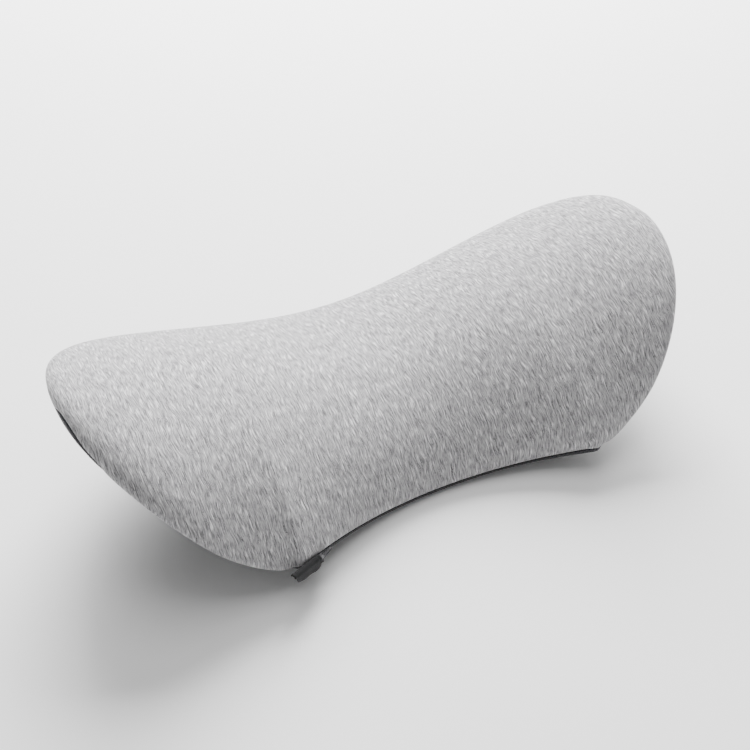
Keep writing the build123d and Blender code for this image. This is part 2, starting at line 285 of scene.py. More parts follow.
def finished_piece(mesh, material):
    """A smooth object of the cushion made from a mesh, with its material and slot."""
    mesh.shade_smooth()
    mesh.materials.append(material)
    made = link(mesh.name, mesh)
    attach(made, CUSHION)
    return made


def new_mesh(name, points, faces):
    """Mesh data in metres from points in millimetres."""
    mesh = bpy.data.meshes.new(name)
    mesh.from_pydata((np.asarray(points).reshape(-1, 3) * MM).tolist(), [], faces)
    return mesh


def mesh_piece(name, points, faces, material):
    """A piece from its points and faces."""
    mesh = new_mesh(name, points, faces)
    mesh.validate()
    mesh.update()
    return finished_piece(mesh, material)


def wrapped_piece(name, points, faces, material, places=None):
    """A piece from a grid of points whose ends close at the tips, with its places on the cloth."""
    mesh = new_mesh(name, points, faces)
    if places is not None:
        store_cloth(mesh, places)
    merge_doubles(mesh)
    return finished_piece(mesh, material)


def merge_doubles(mesh):
    """Joins the coincident points at the two tips."""
    work = bmesh.new()
    work.from_mesh(mesh)
    bmesh.ops.remove_doubles(work, verts=work.verts, dist=DOUBLES_WITHIN * MM)
    work.to_mesh(mesh)
    work.free()
    mesh.update()


def thicken(made, thickness):
    """Gives a cloth its thickness, inwards."""
    solid = made.modifiers.new("cloth_thickness", "SOLIDIFY")
    solid.thickness = thickness * MM
    solid.offset = -1.0


def grid_faces(columns, rows, start=0, flip=False, wrap=False):
    """Quads of a grid that is stored column by column; wrap closes each column into a ring."""
    faces = []
    for i in range(columns - 1):
        for j in range(rows if wrap else rows - 1):
            k = (j + 1) % rows
            a, b = start + i * rows + j, start + i * rows + k
            c, d = start + (i + 1) * rows + k, start + (i + 1) * rows + j
            faces.append((a, b, c, d) if flip else (a, d, c, b))
    return faces


def pad_faces(columns, rows, flip=False):
    """Faces of a closed pad: an outer grid, an inner grid and the band that joins their borders."""
    count = columns * rows
    faces = grid_faces(columns, rows, 0, flip) + grid_faces(columns, rows, count, not flip)
    border = list(range(rows))
    border += [i * rows + rows - 1 for i in range(1, columns)]
    border += [(columns - 1) * rows + j for j in range(rows - 2, -1, -1)]
    border += [i * rows for i in range(columns - 2, 0, -1)]
    for a, b in zip(border, border[1:] + border[:1]):
        faces.append((b, a, a + count, b + count) if flip else (a, b, b + count, a + count))
    return faces


def store_cloth(mesh, values):
    """Writes each vertex's place on the cloth, in millimetres, for the materials to read."""
    attribute = mesh.attributes.new("cloth", "FLOAT_VECTOR", "POINT")
    attribute.data.foreach_set("vector", np.asarray(values, np.float32).ravel())


def tube_mesh(paths, radius):
    """Vertices and faces of round threads along lists of points, closed at both ends."""
    vertices, faces = [], []
    sides = THREAD_SIDES
    for path in paths:
        path = np.asarray(path, float)
        tangents = np.gradient(path, axis=0)
        tangents /= np.linalg.norm(tangents, axis=1, keepdims=True)
        helper = np.array([0.0, 0.0, 1.0]) if abs(tangents[0][2]) < NEARLY_UPRIGHT else X_AXIS
        start = len(vertices)
        for point, tangent in zip(path, tangents):
            u = np.cross(tangent, helper)
            u /= np.linalg.norm(u)
            w = np.cross(tangent, u)
            for k in range(sides):
                turn = 2 * math.pi * k / sides
                vertices.append(point + radius * (math.cos(turn) * u + math.sin(turn) * w))
        count = len(path)
        last = start + (count - 1) * sides
        faces += grid_faces(count, sides, start, wrap=True)
        faces.append(tuple(range(start, start + sides)))
        faces.append(tuple(reversed(range(last, last + sides))))
    return vertices, faces


def zip_frame(angle):
    """Origin, outward, up and forward directions of the zip's cross-section at an angle on its arc."""
    turn = math.radians(angle)
    radial = X_AXIS * math.sin(turn) - LEAN * math.cos(turn)
    forward = X_AXIS * math.cos(turn) + LEAN * math.sin(turn)
    out = radial * -OUT_AT_APEX.dot(LEAN) + ZIP_NORMAL * OUT_AT_APEX.dot(ZIP_NORMAL)
    up = np.cross(-forward, out)
    return ZIP_CENTRE + radial * ZIP_RADIUS, out, up, forward


def zip_point(angle, out, up, forward=0.0):
    """A point given by its place in the zip's cross-section."""
    origin, n, u, t = zip_frame(angle)
    return origin + n * out + u * up + t * forward


# ---------------- materials

class Nodes:
    """Short names for building a material out of nodes."""

    def __init__(self, name):
        self.material = bpy.data.materials.new(name)
        self.material.use_nodes = True
        self.tree = self.material.node_tree
        self.tree.nodes.clear()
        self.shader = self.node("BsdfPrincipled")
        output = self.node("OutputMaterial")
        self.tree.links.new(self.shader.outputs[0], output.inputs[0])

    def node(self, kind):
        return self.tree.nodes.new("ShaderNode" + kind)

    def put(self, socket, value):
        if isinstance(value, bpy.types.NodeSocket):
            self.tree.links.new(value, socket)
        else:
            socket.default_value = value

    def math(self, operation, a, b=0.0, c=0.0):
        node = self.node("Math")
        node.operation = operation
        for socket, value in zip(node.inputs, (a, b, c)):
            self.put(socket, value)
        return node.outputs[0]

    def times(self, a, b):
        return self.math("MULTIPLY", a, b)

    def plus(self, a, b):
        return self.math("ADD", a, b)

    def step(self, value, low, high, out_low=0.0, out_high=1.0):
        node = self.node("MapRange")
        node.interpolation_type = "SMOOTHSTEP"
        for socket, given in zip(node.inputs, (value, low, high, out_low, out_high)):
            self.put(socket, given)
        return node.outputs[0]

    def cloth(self):
        """Place on the cloth in millimetres, as x and y."""
        node = self.node("Attribute")
        node.attribute_name = "cloth"
        split = self.node("SeparateXYZ")
        self.tree.links.new(node.outputs["Vector"], split.inputs[0])
        return split.outputs[0], split.outputs[1]

    def place(self):
        """Place in the part's own frame in millimetres, as a vector."""
        node = self.node("TexCoord")
        scale = self.node("VectorMath")
        scale.operation = "SCALE"
        self.tree.links.new(node.outputs["Object"], scale.inputs[0])
        scale.inputs["Scale"].default_value = 1000.0
        return scale.outputs[0]

    def vector(self, x, y, z=0.0):
        node = self.node("CombineXYZ")
        for socket, value in zip(node.inputs, (x, y, z)):
            self.put(socket, value)
        return node.outputs[0]

    def noise(self, vector, scale, detail=2.0, rough=0.5):
        node = self.node("TexNoise")
        self.put(node.inputs["Vector"], vector)
        for name, value in (("Scale", scale), ("Detail", detail), ("Roughness", rough)):
            node.inputs[name].default_value = value
        return node.outputs[0]

    def stretched(self, x, y, per_x, per_y, layer=0.0, detail=2.0, rough=0.5):
        """Noise on the cloth, with its own count of spots to the millimetre along x and along y."""
        vector = self.vector(self.times(x, per_x), self.times(y, per_y), layer)
        return self.noise(vector, 1.0, detail, rough)

    def wave(self, value, period, shape="SINE"):
        """A sine or cosine of the given period."""
        return self.math(shape, self.times(value, 2 * math.pi / period))

    def colour(self, share, low, high):
        node = self.node("Mix")
        node.data_type = "RGBA"
        self.put(node.inputs[0], share)
        self.put(node.inputs[6], (*low, 1.0) if isinstance(low, tuple) else low)
        self.put(node.inputs[7], (*high, 1.0) if isinstance(high, tuple) else high)
        return node.outputs[2]

    def bump(self, height, distance, strength=1.0):
        node = self.node("Bump")
        node.inputs["Strength"].default_value = strength
        node.inputs["Distance"].default_value = distance * MM
        self.put(node.inputs["Height"], height)
        return node.outputs[0]

    def finish(self, colour, roughness, normal=None, sheen=0.0, metallic=0.0, specular=0.5):
        self.put(self.shader.inputs["Base Color"], colour)
        self.put(self.shader.inputs["Roughness"], roughness)
        if normal is not None:
            self.tree.links.new(normal, self.shader.inputs["Normal"])
        self.shader.inputs["Sheen Weight"].default_value = sheen
        self.shader.inputs["Sheen Roughness"].default_value = 0.4
        self.shader.inputs["Metallic"].default_value = metallic
        self.shader.inputs["Specular IOR Level"].default_value = specular
        return self.material


WALE, COURSE = 1.15, 0.95
KNIT_WAVER, FLECK_STRENGTH = 6.0, 0.8
KNIT_DARK = (0.04, 0.039, 0.043)
KNIT_MIDDLE = (0.19, 0.186, 0.193)
KNIT_LIGHT = (0.47, 0.463, 0.473)
KNIT_PALE = (0.93, 0.92, 0.925)


def knit_material():
    """Heathered jersey: grey melange streaks across the cushion, over rows of small V stitches."""
    n = Nodes("grey_heather_knit")
    x, y = n.cloth()
    waver = n.stretched(x, y, 0.05, 0.05)
    shift = n.times(n.math("SUBTRACT", waver, 0.5), KNIT_WAVER)
    xs = n.plus(x, shift)
    fine = n.stretched(xs, y, 1.25, 0.16, 0.0, 3.0, 0.62)
    flecks = n.stretched(xs, y, 0.85, 0.075, 7.0, 2.0, 0.55)
    grains = n.stretched(xs, y, 1.7, 0.9, 3.0, 2.0, 0.6)
    broad = n.stretched(x, y, 0.03, 0.02, 11.0)
    pale = n.stretched(xs, y, 1.05, 0.11, 19.0, 2.0, 0.6)
    base = n.colour(n.step(fine, 0.36, 0.62), KNIT_MIDDLE, KNIT_LIGHT)
    base = n.colour(n.times(n.step(pale, 0.52, 0.70), FLECK_STRENGTH), base, KNIT_PALE)
    dark = n.times(n.step(flecks, 0.50, 0.70), n.step(grains, 0.38, 0.62, 0.15, 1.0))
    base = n.colour(n.times(dark, FLECK_STRENGTH), base, KNIT_DARK)
    base = n.colour(n.step(broad, 0.3, 0.7, 0.0, 0.07), base, KNIT_MIDDLE)
    column = n.math("FRACT", n.math("DIVIDE", x, WALE))
    side = n.math("ABSOLUTE", n.math("SUBTRACT", column, 0.5))
    ridge = n.math("SINE", n.times(column, math.pi))
    row = n.plus(n.math("DIVIDE", y, COURSE), n.times(side, 0.9))
    stitch = n.wave(row, 1.0)
    height = n.plus(n.times(ridge, 0.55), n.times(stitch, 0.22))
    height = n.plus(height, n.times(fine, 0.5))
    return n.finish(base, 0.92, n.bump(height, 0.16, 0.55), sheen=0.5, specular=0.2)


MESH_PITCH, MESH_ROW_PITCH = 2.6, 3.25


def spacer_mesh_material():
    """Charcoal spacer mesh with staggered round holes, painted near black inside as painted shade."""
    n = Nodes("charcoal_spacer_mesh")
    x, y = n.cloth()
    lattice = n.times(n.wave(x, MESH_PITCH, "COSINE"), n.wave(y, MESH_ROW_PITCH, "COSINE"))
    hole_and_shade = n.step(lattice, 0.28, 0.75)
    fibre = n.stretched(x, y, 3.5, 3.5, 0.0, 2.0, 0.6)
    broad = n.stretched(x, y, 0.05, 0.05, 4.0)
    yarn = n.colour(n.step(fibre, 0.3, 0.7), (0.030, 0.030, 0.033), (0.085, 0.085, 0.09))
    yarn = n.colour(n.step(broad, 0.3, 0.7, 0.0, 0.25), yarn, (0.06, 0.06, 0.064))
    # painted shade: each hole is coloured near black for the shade inside it; the same mask also presses
    # the hole in through the bump
    colour = n.colour(hole_and_shade, yarn, (0.008, 0.008, 0.009))
    height = n.plus(n.times(hole_and_shade, -1.0), n.times(fibre, 0.35))
    return n.finish(colour, 0.85, n.bump(height, 0.5, 0.8), sheen=0.3, specular=0.3)


def woven_material(name, dark, light, pitch, rough=0.8, twill=True):
    """Plain or twill weave of fine yarn for tapes, tabs, patches and webbing, with the hollows between
    the yarns painted darker as painted shade and a random yarn tone over it.
    """
    n = Nodes(name)
    place = n.place()
    split = n.node("SeparateXYZ")
    n.tree.links.new(place, split.inputs[0])
    x, y, z = split.outputs
    across = n.plus(y, z)
    warp = n.wave(n.plus(x, across if twill else 0.0), pitch)
    weft = n.wave(across, pitch)
    weave = n.plus(n.times(warp, 0.6), n.times(weft, 0.4))
    fuzz = n.noise(place, 2.2, 3.0, 0.6)
    # painted shade: the yarn tops get the lighter colour and the hollows between them the darker one,
    # following the bump's weave; the fuzz adds a random yarn tone
    weave_shade = n.times(n.step(weave, -0.8, 0.8), 0.5)
    share = n.plus(weave_shade, n.times(fuzz, 0.5))
    relief = n.bump(n.plus(weave, fuzz), 0.12, 0.7)
    return n.finish(n.colour(share, dark, light), rough, relief, sheen=0.1, specular=0.2)


def foam_material():
    """Moulded memory foam: off-white, with fine open cells and slight yellowing; the pit of each cell is
    painted darker as painted shade.
    """
    n = Nodes("memory_foam")
    place = n.place()
    cells = n.node("TexVoronoi")
    n.tree.links.new(place, cells.inputs["Vector"])
    cells.inputs["Scale"].default_value = 0.9
    pore_and_shade = n.step(cells.outputs[0], 0.05, 0.45)
    broad = n.noise(place, 0.03, 2.0)
    colour = n.colour(n.step(broad, 0.35, 0.65), (0.80, 0.77, 0.66), (0.86, 0.83, 0.74))
    # painted shade: the pit of each open cell is painted darker and yellower for the shade inside it;
    # the same mask sinks it through the bump
    colour = n.colour(n.math("SUBTRACT", 1.0, pore_and_shade), colour, (0.60, 0.56, 0.44))
    return n.finish(colour, 0.9, n.bump(pore_and_shade, 0.4, 0.6), specular=0.2)


def liner_material():
    """Thin white liner cloth with a faint weave."""
    # the darker colour goes to the painted shade in the weave hollows, mixed with random yarn tone
    dark, light = (0.62, 0.62, 0.62), (0.80, 0.80, 0.79)
    return woven_material("white_liner_cloth", dark, light, 0.9, 0.85, twill=False)


def painted_metal():
    """Dark painted zinc with fine specks and slightly uneven gloss."""
    n = Nodes("dark_painted_zinc")
    place = n.place()
    speck = n.noise(place, 4.0, 3.0, 0.6)
    smear = n.noise(place, 0.6, 2.0)
    colour = n.colour(n.step(speck, 0.45, 0.75), (0.020, 0.020, 0.022), (0.055, 0.055, 0.06))
    rough = n.step(smear, 0.3, 0.7, 0.42, 0.6)
    return n.finish(colour, rough, n.bump(speck, 0.03, 0.4), metallic=0.3, specular=0.3)


def pull_material():
    """Dark moulded pull with a fine moulded grain."""
    n = Nodes("dark_moulded_pull")
    place = n.place()
    grain = n.noise(place, 6.0, 3.0, 0.6)
    colour = n.colour(n.step(grain, 0.35, 0.7), (0.022, 0.022, 0.024), (0.05, 0.05, 0.054))
    rough = n.step(grain, 0.3, 0.7, 0.45, 0.62)
    return n.finish(colour, rough, n.bump(grain, 0.03, 0.4), specular=0.3)


def coil_material():
    """Charcoal nylon of the zip's coil."""
    n = Nodes("charcoal_nylon_coil")
    gloss = n.noise(n.place(), 2.0, 2.0)
    colour = n.colour(gloss, (0.02, 0.02, 0.022), (0.05, 0.05, 0.053))
    return n.finish(colour, n.step(gloss, 0.3, 0.7, 0.3, 0.45))


def thread_material():
    """Twisted polyester sewing thread."""
    n = Nodes("dark_sewing_thread")
    twist = n.noise(n.place(), 7.0, 2.0)
    colour = n.colour(twist, (0.05, 0.05, 0.055), (0.13, 0.13, 0.14))
    return n.finish(colour, 0.6, n.bump(twist, 0.05, 0.6), sheen=0.2)


KNIT = knit_material()
MESH = spacer_mesh_material()
# In each woven cloth the darker colour goes to the painted shade in the hollows between the yarns, mixed
# with a random yarn tone.
TAB_CLOTH = woven_material("charcoal_tab_cloth", (0.006, 0.006, 0.0065), (0.022, 0.022, 0.023), 0.8)
TAPE = woven_material("charcoal_zip_tape", (0.018, 0.018, 0.02), (0.06, 0.06, 0.064), 0.6)
WEBBING = woven_material(
    "black_elastic_webbing", (0.012, 0.012, 0.014), (0.05, 0.05, 0.055), 1.1, 0.7, twill=False
)
PATCH = woven_material("charcoal_patch_cloth", (0.02, 0.02, 0.022), (0.07, 0.07, 0.075), 0.8)
FOAM, LINER = foam_material(), liner_material()
METAL, PULL_PLASTIC = painted_metal(), pull_material()
COIL, THREAD = coil_material(), thread_material()


# ---------------- the two covers

COLUMNS, ROWS = 261, 121
PINCH, PINCH_WIDTH = 1.1, 1.8
SLIT_HALF, SLIT_WIDTH = 0.62, 2.2
COVER_THICKNESS = 1.4
RELIEF_LOW, RELIEF_HIGH, RELIEF_FADE = -0.3, 1.2, 25.0
CALM_GIRTH, REST_FADE, STRAP_MARGIN, ZIP_END_FADE = 40.0, 12.0, 6.0, 1.2
SETTLING_INSET, SETTLING_GRAIN, SEWN_REACH, FARTHEST_MOVE = 4.0, 6.0, 7.0, 5.0
SETTLING_FRAMES = 20


def closed_form(columns, rows, inset):
    """The whole padded body as rings of points, one for each station."""
    angles = np.linspace(-180.0, 180.0, rows + 1)[:-1]
    return rest_and_strap(form_points(stations_along(columns), angles, inset), inset)


def settled_relief():
    """Start points and outward movement, in millimetres, of a cover filled by air pressure."""
    ring = closed_form(91, 96, SETTLING_INSET)
    mesh = new_mesh("settling_cover", ring, grid_faces(*ring.shape[:2], wrap=True))
    mesh.validate()
    proxy = link("settling_cover", mesh)
    remesh = proxy.modifiers.new("even_cloth", "REMESH")
    remesh.mode = "VOXEL"
    remesh.voxel_size = SETTLING_GRAIN * MM
    graph = bpy.context.evaluated_depsgraph_get()
    even = bpy.data.meshes.new_from_object(proxy.evaluated_get(graph))
    proxy.modifiers.clear()
    proxy.data = even
    start = read_points(even)
    sewn = proxy.vertex_groups.new(name="sewn")
    edge = np.concatenate([ring[:, 0], ring[:, ring.shape[1] // 2]])
    for index, point in enumerate(start):
        if np.min(np.sum((edge - point) ** 2, axis=1)) < SEWN_REACH**2:
            sewn.add([index], 1.0, "REPLACE")
    cloth = proxy.modifiers.new("cloth", "CLOTH")
    settings = cloth.settings
    settings.quality = 5
    settings.mass = 0.3
    settings.tension_stiffness = settings.compression_stiffness = 12
    settings.bending_stiffness = 0.5
    settings.use_pressure = True
    settings.uniform_pressure_force = 4.0
    settings.vertex_group_mass = "sewn"
    settings.effector_weights.gravity = 0.0
    cloth.point_cache.frame_start = 1
    cloth.point_cache.frame_end = SETTLING_FRAMES
    for frame_number in range(1, SETTLING_FRAMES + 1):
        bpy.context.scene.frame_set(frame_number)
    graph = bpy.context.evaluated_depsgraph_get()
    settled = bpy.data.meshes.new_from_object(proxy.evaluated_get(graph))
    moved = read_points(settled) - start
    normals = np.zeros(len(even.vertices) * 3, np.float32)
    even.vertices.foreach_get("normal", normals)
    outward = (moved * normals.reshape(-1, 3)).sum(1)
    outward = np.clip(outward, -FARTHEST_MOVE, FARTHEST_MOVE)
    bpy.data.objects.remove(proxy)
    bpy.context.scene.frame_set(1)
    return start, outward


def read_points(mesh):
    """A mesh's vertices as millimetre points."""
    flat = np.zeros(len(mesh.vertices) * 3, np.float32)
    mesh.vertices.foreach_get("co", flat)
    return flat.reshape(-1, 3).astype(float) / MM


def softened(field, times):
    """A grid of values averaged with its neighbours."""
    for _ in range(times):
        padded = np.pad(field, 1, mode="edge")
        field = (padded[:-2, 1:-1] + padded[2:, 1:-1] + padded[1:-1, :-2] + padded[1:-1, 2:]) / 4
    return field


def relief_on(points, seams, relief):
    """The simulated relief read at a grid of points, fading to nothing at the seams."""
    if relief is None:
        return np.zeros(points.shape[:2])
    start, outward = relief
    tree = KDTree(len(start))
    for index, point in enumerate(start):
        tree.insert(point, index)
    tree.balance()
    values = []
    for point in points.reshape(-1, 3):
        found = tree.find_n(point, 4)
        weights = np.array([1.0 / (hit[2] + 0.5) for hit in found])
        values.append(float(np.dot(weights, [outward[hit[1]] for hit in found]) / weights.sum()))
    field = softened(np.array(values).reshape(points.shape[:2]), 6)
    field = np.clip(field - np.median(field), RELIEF_LOW, RELIEF_HIGH)
    return softened(field, 4) * mix(0.0, 1.0, seams / RELIEF_FADE)


def zip_part(points):
    """For each column of points, its share in the zipped seam and the zip's up direction there."""
    angles = np.degrees(np.arcsin(np.clip(points[:, 0, 0] / ZIP_RADIUS, -1, 1)))
    share = mix(1.0, 0.0, (np.abs(angles) - ZIP_HALF_ANGLE + ZIP_END_FADE) / ZIP_END_FADE)
    return share, np.array([zip_frame(angle)[2] for angle in angles])


def seam_outward(first, second):
    """Unit directions straight out of a seam between two covers, and nothing at the tips."""
    out = first + second
    out[0] = out[-1] = 0.0
    return out / np.maximum(np.linalg.norm(out, axis=1, keepdims=True), TINY)


def cover_sheets(relief):
    """The front and back covers as grids of points, joined at the seam and parted along the zip."""
    front, front_arc, front_seam = sheet_points(True)
    back, back_arc, back_seam = sheet_points(False)
    front_out, back_out = grid_normals(front, True), grid_normals(back, False)
    near = seam_outward(front_out[:, 0], back_out[:, 0])
    far = seam_outward(front_out[:, -1], back_out[:, -1])
    girth = 2 * front_seam.max(axis=1)
    calm = np.clip(girth / CALM_GIRTH, 0, 1)[:, None, None]
    share, up = zip_part(front)
    first_half = (np.arange(ROWS) < ROWS // 2)[None, :, None]
    sheets = []
    for points, out, arc, seams, side in (
        (front, front_out, front_arc, front_seam, 1.0),
        (back, back_out, back_arc, back_seam, -1.0),
    ):
        puff = relief_on(points, seams, relief)
        if side < 0:
            puff = puff * mix(0.0, 1.0, points[..., 2] / REST_FADE)
            puff = puff * (np.abs(points[..., 1] - STRAP_MIDDLE) > STRAP_WIDTH / 2 + STRAP_MARGIN)
            puff = softened(puff, 3)
        toward = np.where(first_half, near[:, None], far[:, None])
        tuck = PINCH * np.exp(-((seams / PINCH_WIDTH) ** 2))[..., None] * calm
        part = SLIT_HALF * np.exp(-((seams / SLIT_WIDTH) ** 2))[..., None] * first_half
        part = part * share[:, None, None] * side
        shaped = points + out * puff[..., None] * calm - toward * tuck + up[:, None] * part
        sheets.append((shaped, arc, seams))
    return sheets


def sheet_piece(name, points, arcs, material, flip):
    """A cover made from its grid of points, with its way along the cloth and its thickness."""
    run = run_along(points[:, ROWS // 2])
    run = run - run[-1] / 2
    places = np.stack([np.broadcast_to(run[:, None], arcs.shape), arcs, 0 * arcs], -1)
    faces = grid_faces(*points.shape[:2], flip=flip)
    made = wrapped_piece(name, points, faces, material, places.reshape(-1, 3))
    thicken(made, COVER_THICKNESS)
    return made


RELIEF = settled_relief()
(FRONT, FRONT_ARC, _), (BACK, BACK_ARC, BACK_SEAM) = cover_sheets(RELIEF)
front_cover = sheet_piece("front_knit_cover", FRONT, FRONT_ARC, KNIT, False)
back_cover = sheet_piece("back_mesh_cover", BACK, BACK_ARC, MESH, True)
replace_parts(front_cover, "front_cover")
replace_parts(back_cover, "back_cover")


# ---------------- foam core and liner

GROOVE_DEPTH, GROOVE_UP, GROOVE_DOWN, GROOVE_SOFT = 11.2, 8.6, 9.0, 3.0
GROOVE_PAST_ZIP, GROOVE_FADE = 1.6, 1.0
FOAM_INSET, LINER_INSET, LINER_THICKNESS = 3.0, 1.9, 0.5


def behind_zip(points, extra):
    """Steps points in behind the zip, where the tapes and the slider need room."""
    flat = points.reshape(-1, 3).copy()
    angle = np.degrees(np.arctan2(flat[:, 0], -(flat - ZIP_CENTRE) @ LEAN))
    limit = ZIP_HALF_ANGLE + GROOVE_PAST_ZIP
    for index in np.nonzero((np.abs(angle) < limit + GROOVE_FADE) & (flat[:, 1] < 0))[0]:
        origin, out, up, _ = zip_frame(angle[index])
        offset = flat[index] - origin
        n, u = offset @ out, offset @ up
        room = min(GROOVE_UP + extra - u, u + GROOVE_DOWN + extra)
        weight = mix(0.0, 1.0, (room + GROOVE_SOFT) / GROOVE_SOFT)
        weight = weight * mix(1.0, 0.0, (abs(angle[index]) - limit) / GROOVE_FADE)
        flat[index] -= out * max(n + GROOVE_DEPTH + extra, 0.0) * weight
    return flat.reshape(points.shape)


def inner_form(name, inset, extra, material):
    """A closed form inside the covers, inset evenly and stepped in behind the zip."""
    points = behind_zip(closed_form(121, 144, inset), extra)
    faces = grid_faces(*points.shape[:2], flip=True, wrap=True)
    return wrapped_piece(name, points, faces, material)


foam = inner_form("moulded_foam_core", FOAM_INSET, FOAM_INSET - LINER_INSET, FOAM)
liner = inner_form("white_liner_bag", LINER_INSET, 0.0, LINER)
thicken(liner, LINER_THICKNESS)
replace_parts(foam, "foam_core")
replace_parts(liner, "inner_liner")


# ---------------- zip, slider and tab

COIL_N, COIL_U, COIL_RADIUS_N, COIL_RADIUS_U = -4.6, 1.15, 0.52, 0.44
COIL_THREAD, COIL_PITCH, COIL_SHORT_OF_END, TURN_STEPS = 0.17, 1.25, 1.3, 10


def coil_piece(name, side):
    """One row of the zip's coil: a nylon thread wound along the arc."""
    half = ZIP_HALF_ANGLE - COIL_SHORT_OF_END
    turns = round(math.radians(2 * half) * ZIP_RADIUS / COIL_PITCH)
    path = []
    for step in range(turns * TURN_STEPS + 1):
        share = step / (turns * TURN_STEPS)
        turn = 2 * math.pi * turns * share + (0 if side > 0 else math.pi)
        n = COIL_N + COIL_RADIUS_N * math.cos(turn)
        u = side * COIL_U + COIL_RADIUS_U * math.sin(turn)
        path.append(zip_point(-half + 2 * half * share, n, u))
    vertices, faces = tube_mesh([path], COIL_THREAD)
    return mesh_piece(name, vertices, faces, COIL)


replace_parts(coil_piece("zip_coil_spiral_front", 1.0), "zip_coil_front")
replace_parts(coil_piece("zip_coil_spiral_back", -1.0), "zip_coil_back")


def round_edges(made, width):
    """Rounds a hard piece's edges a little."""
    rounding = made.modifiers.new("rounded_edges", "BEVEL")
    rounding.width = width * MM
    rounding.segments = 3
    rounding.limit_method = "ANGLE"
    rounding.angle_limit = math.radians(35)
    made.data.shade_smooth()
    normals = made.modifiers.new("even_shading", "WEIGHTED_NORMAL")
    normals.keep_sharp = True


def dress(node, material, bevel):
    """Gives a CAD node its material, and rounds its edges where bevel isn't nothing."""
    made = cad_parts[node]
    made.data.materials.clear()
    made.data.materials.append(material)
    if bevel:
        round_edges(made, bevel)


for nodes, material, bevel in (
    (("front_cover",), KNIT, 0.0),
    (("back_cover",), MESH, 0.0),
    (("foam_core",), FOAM, 0.0),
    (("inner_liner",), LINER, 0.0),
    (("zip_coil_front", "zip_coil_back"), COIL, 0.0),
    (("zip_tape_front", "zip_tape_back"), TAPE, 0.0),
    (("zip_top_stops", "zip_bottom_stop"), METAL, 0.15),
    (("zip_slider",), METAL, 0.18),
    (("zip_pull",), PULL_PLASTIC, 0.25),
    (("zip_tab",), TAB_CLOTH, 0.0),
    (("back_strap",), WEBBING, 0.0),
    (("strap_patch_left", "strap_patch_right"), PATCH, 0.0),
):
    for node in nodes:
        dress(node, material, bevel)

SLIDER_REST, PULL_SHIFT, TAB_GAP = -30.0, 3.2, 1.9
TAB_START = SLIDER_REST + math.degrees((PULL_SHIFT - TAB_GAP) / ZIP_RADIUS)
BAR_OUT, PULL_DROOP, PULL_NARROWING, PULL_ROUNDING = 3.05, 27.0, 0.8, 0.2


def hanging_pull():
    """The pull, swung a little down from the seam as it hangs, and narrowed to clear its lugs."""
    angle = SLIDER_REST + math.degrees(PULL_SHIFT / ZIP_RADIUS)
    origin, out, up, forward = zip_frame(angle)
    pivot = Vector((origin + out * BAR_OUT) * MM)
    basis = Matrix([Vector(out), Vector(up), Vector(forward)]).transposed().to_4x4()
    swing = Matrix.Rotation(math.radians(PULL_DROOP), 4, Vector(out))
    narrow = basis @ Matrix.Diagonal((1.0, PULL_NARROWING, 1.0, 1.0)) @ basis.inverted()
    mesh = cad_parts["zip_pull"].data.copy()
    mesh.transform(Matrix.Translation(pivot) @ swing @ narrow @ Matrix.Translation(-pivot))
    made = link("hanging_zip_pull", mesh)
    mesh.materials.clear()
    mesh.materials.append(PULL_PLASTIC)
    round_edges(made, PULL_ROUNDING)
    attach(made, PULL)
    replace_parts(made, "zip_pull")


hanging_pull()
TAB_LENGTH, TAB_THICKNESS = 27.0, 1.5
TAB_RIGHT_DEPTH, TAB_LEFT_DEPTH, TAB_SLANT = 14.5, 8.0, 0.32
TAB_ROOT, TAB_OUT, TAB_TOP, TAB_BEND, TAB_TUCK = 0.4, 3.1, 2.7, 1.7, 0.012
TAB_REACH = TAB_OUT - TAB_ROOT - TAB_BEND
TAB_OVER = TAB_REACH + TAB_BEND * math.pi / 2 - TAB_BEND
TAB_CORNER, TAB_CORNER_POWER, TAB_LEFT_SLOPE, TAB_SWAY, TAB_LEAST_DEPTH = 4.5, 2.4, 4.0, 0.8, 2.0
RIPPLE_HEIGHT, RIPPLE_RATE, RIPPLE_START, RIPPLE_GROWTH = 0.25, 0.42, 0.8, 10.0
TAB_SOFT_EDGE, TAB_GROOVE, TAB_GROOVE_WIDTH, TAB_MARGIN = 0.8, 0.16, 0.5, 2.4
STITCH_SHORT_OF_END, STITCH_SUNK = 1.2, 0.12


def tab_depth(along):
    """Depth of the tab at a distance from its right end: rounded at the right, slanted at the left."""
    depth = TAB_RIGHT_DEPTH + (TAB_LEFT_DEPTH - TAB_RIGHT_DEPTH) * along / TAB_LENGTH
    right = crown(np.clip(1 - along / TAB_CORNER, 0, 1), TAB_CORNER_POWER)
    left = np.clip((TAB_LENGTH - along) / TAB_LEFT_SLOPE, 0, 1)
    sway = TAB_SWAY * math.sin(along / TAB_LENGTH * math.pi)
    return max(min(right, left) * (depth + sway), TAB_LEAST_DEPTH)


def tab_profile(down):
    """Place in the zip's cross-section at a way down the tab: out, over a bend, then hanging."""
    if down < TAB_REACH:
        return TAB_ROOT + down, TAB_TOP
    turn = (down - TAB_REACH) / TAB_BEND
    if turn < math.pi / 2:
        low = TAB_TOP - TAB_BEND * (1 - math.cos(turn))
        return TAB_OUT - TAB_BEND + TAB_BEND * math.sin(turn), low
    rest = down - TAB_REACH - TAB_BEND * math.pi / 2
    return TAB_OUT - TAB_TUCK * rest**2, TAB_TOP - TAB_BEND - rest


